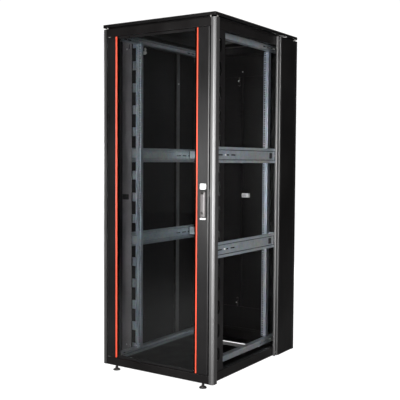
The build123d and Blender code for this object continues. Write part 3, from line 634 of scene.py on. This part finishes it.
def rail_screws():
    """Two pan-head screws in each rail, one near either end."""
    for side, sign in SIDES:
        front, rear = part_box(f"front_rail_{side}"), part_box(f"rear_rail_{side}")
        inner = [min(abs(box[0][0]), abs(box[1][0])) for box in (front, rear)]
        front_x, rear_x = inner[0] + FRONT_SCREW[0], inner[1] + REAR_SCREW_IN
        front_y = front[0][1] + FRONT_SCREW[1]
        for level, z in (("low", front[0][2] + RAIL_SCREW_END), ("high", front[1][2] - RAIL_SCREW_END)):
            for row, x, y in (("front", front_x, front_y), ("rear", rear_x, rear[0][1])):
                name = f"rail_screw_{row}_{level}_{side}"
                head = pan_head(name, Vector((sign * x, y, z)), FORWARD, 5 * MM, 2.6 * MM)
                place(name, head, "cabinet", "steel_bright")


def roof_screws():
    """Four flat screws in the cover of the roof's cable entry."""
    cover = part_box("roof_entry_cover")
    from_edge = 25 * MM
    for row, y in (("front", cover[0][1] + from_edge), ("rear", cover[1][1] - from_edge)):
        for side, sign in SIDES:
            name = f"roof_screw_{row}_{side}"
            centre = Vector((sign * (cover[1][0] - from_edge), y, cover[1][2] - MM))
            place(name, pan_head(name, centre, UP, 3.6 * MM, 1.0 * MM), "cabinet", "dark_steel")


def panel_screws():
    """Four screws in each of the two fixed rear panels."""
    from_edge = 35 * MM
    columns = (("outer", 335 * MM), ("inner", 120 * MM))
    for level in ("top", "bottom"):
        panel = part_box(f"rear_{level}_panel")
        z = panel[1][2] - from_edge if level == "top" else panel[0][2] + from_edge
        for side, sign in SIDES:
            for column, x in columns:
                name = f"panel_screw_{level}_{column}_{side}"
                head = pan_head(name, Vector((sign * x, panel[1][1], z)), BACKWARD, 5 * MM, 2.4 * MM)
                place(name, head, "cabinet", "dark_steel")


KNOB_FROM_END = 39 * MM       # a slide bolt's knob, from the bolt's inner end
CAM_CENTRE = 11 * MM          # the lock's shaft, up from the cam's low end


def bolt_tips():
    """Bright tips on the slide bolts' knobs."""
    profile = [(3.2, -0.4), (4.0, 0.2), (3.9, 0.9), (3.2, 1.5), (1.8, 1.9)]
    for level in ("upper", "lower"):
        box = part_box(f"slide_bolt_{level}")
        z = box[1][2] - KNOB_FROM_END if level == "upper" else box[0][2] + KNOB_FROM_END
        centre = Vector((middle(box, 0), box[0][1], z))
        tip = turned("tip", centre, FORWARD, in_mm(profile), 28)
        place(f"bolt_tip_{level}", tip, f"bolt_{level}", "steel_bright")


def lock_nut():
    """Nut and washer that hold the side panel lock's cam."""
    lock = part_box("side_panel_lock")
    centre = Vector((lock[1][0], middle(lock, 1), lock[0][2] + CAM_CENTRE))
    nut = prism("nut", centre, RIGHT, 8.5 * MM, 0.0, 5 * MM, 6, 0.3)
    washer_profile = [(10.5, 0.0), (10.5, 0.9), (10.0, 1.2), (8.6, 1.2)]
    washer = turned("washer", centre, RIGHT, in_mm(washer_profile), 36)
    place("lock_nut", nut, "panel_lock", "steel_bright")
    place("lock_washer", washer, "panel_lock", "steel_bright")


def leaf_seal():
    """Soft seal on the passive rear leaf's edge. Its bulb nearly closes the joint between the leaves."""
    left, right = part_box("rear_door_left"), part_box("rear_door_right")
    edge, face = left[1][0], left[1][1]
    gap = right[0][0] - edge
    root_x, side_x = edge - 0.6 * MM, edge + 0.02 * MM
    bulb_y, bulb_half = face - 6.5 * MM, 2.5 * MM
    outline = [(root_x, face - 10.5 * MM), (side_x, face - 10.0 * MM)]
    for angle in range(15, 180, 15):
        turn = math.radians(angle)
        outline.append((edge + gap * 0.8 * math.sin(turn), bulb_y - bulb_half * math.cos(turn)))
    outline += [(side_x, face - 3.0 * MM), (root_x, face - 2.5 * MM)]
    heights = (left[0][2] + 2 * MM, left[1][2] - 2 * MM)
    seal = skin("leaf_seal", [[(x, y, z) for x, y in outline] for z in heights])
    place("leaf_seal", seal, "rear_leaf_left", "black_rubber")


handle()
leaf_seal()
feet()
rail_screws()
roof_screws()
panel_screws()
bolt_tips()
lock_nut()


# ---- Stage, light and camera -----------------------------------------------------------------------
WORLD_SEEN = 1.05
WORLD_LIGHT = 0.05
WORLD_DEPTH = 3.5       # a ray through glass sees the white world up to this many bounces
FLOOR_DEPTH = 2.5       # the same for the floor
FLOOR_GLOW = 1.0
CABINET_SHADE = (("X", 0.0, 0.27), ("Y", 0.07, 0.44))   # middle and half size of the unlit patch under it


def looked_at(tree, depth):
    """1 for rays straight from the camera, or through glass with fewer bounces than the depth, else 0."""
    path = tree.nodes.new("ShaderNodeLightPath")
    near, through, either = [tree.nodes.new("ShaderNodeMath") for _ in range(3)]
    near.operation, through.operation, either.operation = "LESS_THAN", "MULTIPLY", "MAXIMUM"
    near.inputs[1].default_value = depth
    tree.links.new(path.outputs["Ray Depth"], near.inputs[0])
    tree.links.new(path.outputs["Is Transmission Ray"], through.inputs[0])
    tree.links.new(near.outputs["Value"], through.inputs[1])
    tree.links.new(path.outputs["Is Camera Ray"], either.inputs[0])
    tree.links.new(through.outputs["Value"], either.inputs[1])
    return either.outputs["Value"]


def make_floor():
    """Pale floor that looks white to the camera, except under the cabinet. This glow lights nothing."""
    bpy.ops.mesh.primitive_circle_add(vertices=96, radius=14.0, fill_type="NGON")
    floor = bpy.context.object
    floor.name = "floor"
    g = Graph("floor_pale", Roughness=0.9, Specular_IOR_Level=0.1)
    shade = g.ramp(g.noise(0.4, 2.0), [(0.3, (0.13, 0.13, 0.13)), (0.7, (0.15, 0.15, 0.15))])
    g.join(shade, g.shader.inputs["Base Color"])
    g.shader.inputs["Emission Color"].default_value = (1.0, 1.0, 1.0, 1.0)
    parts = g.add("ShaderNodeSeparateXYZ")
    g.join(g.coords, parts.inputs["Vector"])
    outside = 0.0
    for axis, centre, half in CABINET_SHADE:
        away = g.maths("ABSOLUTE", g.maths("SUBTRACT", parts.outputs[axis], centre), 0.0)
        outside = g.maths("MAXIMUM", outside, g.maths("GREATER_THAN", away, half))
    seen = g.maths("MULTIPLY", looked_at(g.tree, FLOOR_DEPTH), outside)
    g.join(g.maths("MULTIPLY", seen, FLOOR_GLOW), g.shader.inputs["Emission Strength"])
    floor.data.materials.append(g.material)


def area_light(name, centre, target, size, power, through_glass=False):
    """Rectangular light aimed at a target and hidden from the camera, except, if so set, through glass."""
    data = bpy.data.lights.new(name, "AREA")
    data.shape = "RECTANGLE"
    data.size, data.size_y = size
    data.energy = power
    light = bpy.data.objects.new(name, data)
    light.location = centre
    light.rotation_mode = "QUATERNION"
    light.rotation_quaternion = (Vector(target) - Vector(centre)).to_track_quat("-Z", "Y")
    light.visible_camera = False
    light.visible_transmission = through_glass
    bpy.context.scene.collection.objects.link(light)


def make_world():
    """White where the camera sees it, also through glass, and dim as a light and in reflections."""
    world = bpy.data.worlds.new("studio")
    bpy.context.scene.world = world
    world.use_nodes = True
    tree = world.node_tree
    background = tree.nodes["Background"]
    background.inputs["Color"].default_value = (1.0, 1.0, 1.0, 1.0)
    levels = tree.nodes.new("ShaderNodeMapRange")
    levels.inputs["To Min"].default_value = WORLD_LIGHT
    levels.inputs["To Max"].default_value = WORLD_SEEN
    tree.links.new(looked_at(tree, WORLD_DEPTH), levels.inputs["Value"])
    tree.links.new(levels.outputs["Result"], background.inputs["Strength"])


CAMERA_PLACE = Vector((2.539, -3.865, 1.278))
CAMERA_YAW = math.radians(33.56)
CAMERA_PITCH = math.radians(-3.07)
CAMERA_ROLL = math.radians(0.37)
CAMERA_LENS = 65.8


def make_camera():
    """Camera turned to the left of +Y by the yaw, looking slightly down."""
    flat = math.cos(CAMERA_PITCH)
    forward = Vector((-math.sin(CAMERA_YAW) * flat, math.cos(CAMERA_YAW) * flat, math.sin(CAMERA_PITCH)))
    level = Vector((math.cos(CAMERA_YAW), math.sin(CAMERA_YAW), 0.0))
    upright = level.cross(forward)
    right = math.cos(CAMERA_ROLL) * level + math.sin(CAMERA_ROLL) * upright
    up = -math.sin(CAMERA_ROLL) * level + math.cos(CAMERA_ROLL) * upright
    data = bpy.data.cameras.new("camera")
    data.sensor_width = 36.0
    data.lens = CAMERA_LENS
    camera = bpy.data.objects.new("camera", data)
    turn = Matrix((right, up, -forward)).transposed().to_4x4()
    camera.matrix_world = Matrix.Translation(CAMERA_PLACE) @ turn
    bpy.context.scene.collection.objects.link(camera)
    bpy.context.scene.camera = camera


bpy.context.scene.view_settings.view_transform = "Standard"
make_floor()
make_world()
make_camera()
area_light("key_box", (1.3, -4.0, 1.3), (0.1, -0.4, 1.05), (1.2, 1.4), 130, through_glass=True)
area_light("right_box", (3.8, -1.3, 1.2), (0.3, -0.3, 1.0), (1.8, 1.8), 90)
area_light("post_box", (3.1, -2.7, 1.15), (0.38, -0.48, 1.05), (1.4, 2.0), 60)
area_light("inner_box", (0.35, -3.6, 1.3), (0.0, 0.4, 1.05), (0.7, 1.2), 60, through_glass=True)
area_light("stile_box", (-1.15, -3.0, 1.1), (0.3, -0.5, 1.05), (0.35, 1.2), 10, through_glass=True)
area_light("left_box", (-4.3, 0.6, 1.6), (-0.4, 0.2, 1.0), (1.6, 1.8), 110)
area_light("rear_box", (-1.4, 4.3, 1.7), (-0.1, 0.5, 1.0), (1.6, 1.8), 130)
area_light("top_box", (-0.6, 1.2, 4.6), (0.0, 0.2, 2.0), (1.4, 1.4), 70)
